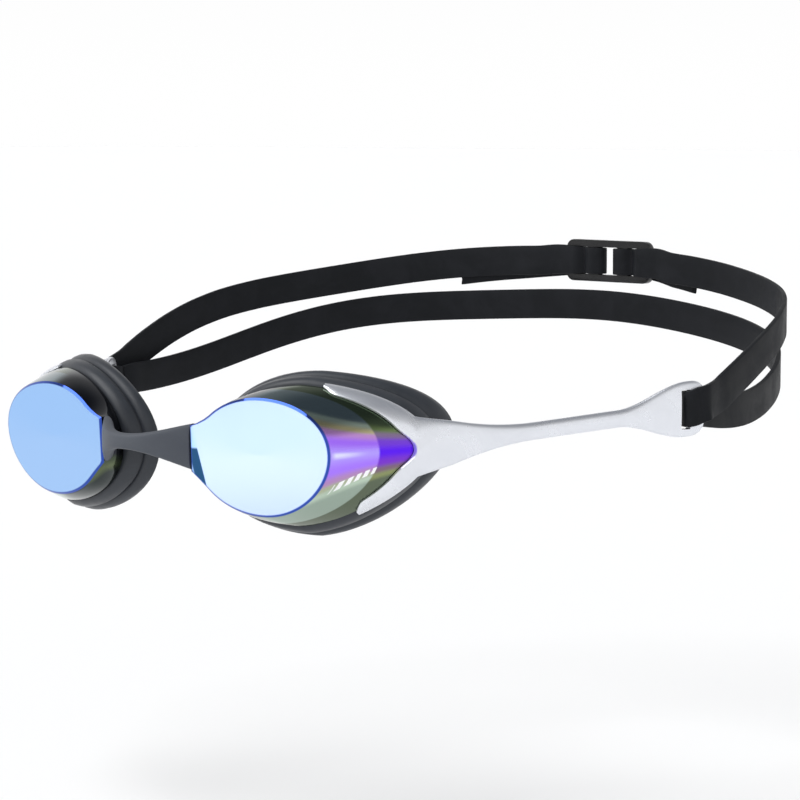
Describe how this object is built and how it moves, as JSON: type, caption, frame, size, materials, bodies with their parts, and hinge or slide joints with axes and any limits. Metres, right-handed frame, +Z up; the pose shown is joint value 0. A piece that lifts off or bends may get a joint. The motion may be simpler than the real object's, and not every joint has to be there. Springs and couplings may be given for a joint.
{
  "type": "swim goggles",
  "caption": "Low-profile racing swim goggles with mirrored cups, soft gaskets, silver fork arms and a double silicone strap with a slide buckle.",
  "frame": {"origin": "between the wearer's eyes, in the plane where the gaskets meet the face beside the nose, at the height of the bridge", "axes": "+X towards the wearer's left, -Y the way the wearer looks, +Z up"},
  "size_m": [0.1954, 0.187, 0.0616],
  "materials": {
    "lens": "polycarbonate with a blue mirror coating on the front face and a violet to olive tint on the side wall",
    "gasket": "soft satin thermoplastic rubber",
    "bridge": "matt dark grey moulding",
    "arm": "satin silver paint on a semi-rigid moulding",
    "strap": "matt black silicone with slightly glossy edges",
    "buckle": "moulded black plastic"
  },
  "bodies": {
    "bridge": {"nose_bridge": "bridge"},
    "cup_left": {"lens_left": "lens", "gasket_left": "gasket", "arm_left": "arm", "strap_loop_left": "strap"},
    "cup_right": {"lens_right": "lens", "gasket_right": "gasket", "arm_right": "arm", "strap_loop_right": "strap"},
    "upper_strap": {"strap_upper_left": "strap", "strap_upper_right": "strap"},
    "lower_strap": {"strap_lower": "strap"},
    "buckle": {"buckle": "buckle"}
  },
  "joints": [
    {"name": "cup_left_flex", "type": "hinge", "parent": "bridge", "child": "cup_left", "pos_m": [0.014, -0.014, 0], "axis": [0, 0, 1], "range_deg": [-4, 5], "stiffness_Nm_per_rad": 0.8, "deforming": ["strap_loop_left", "strap_upper_left", "strap_lower"]},
    {"name": "cup_right_flex", "type": "hinge", "parent": "bridge", "child": "cup_right", "pos_m": [-0.014, -0.014, 0], "axis": [0, 0, -1], "range_deg": [-4, 5], "stiffness_Nm_per_rad": 0.8, "deforming": ["strap_loop_right", "strap_upper_right", "strap_lower"]},
    {"name": "upper_strap_swing", "type": "hinge", "parent": "bridge", "child": "upper_strap", "pos_m": [0, 0.0684, 0.0048], "axis": [0.9997, 0, 0.0224], "range_deg": [-1, 10], "stiffness_Nm_per_rad": 0.6, "deforming": ["strap_upper_left", "strap_upper_right"]},
    {"name": "lower_strap_swing", "type": "hinge", "parent": "bridge", "child": "lower_strap", "pos_m": [0, 0.0684, 0.0048], "axis": [0.9997, 0, 0.0224], "range_deg": [-10, 1], "stiffness_Nm_per_rad": 0.6, "deforming": ["strap_lower"]},
    {"name": "buckle_slide", "type": "slide", "parent": "upper_strap", "child": "buckle", "axis": [1, 0, 0], "range_m": [-0.005, 0.005], "deforming": ["strap_upper_left", "strap_upper_right"]}
  ]
}
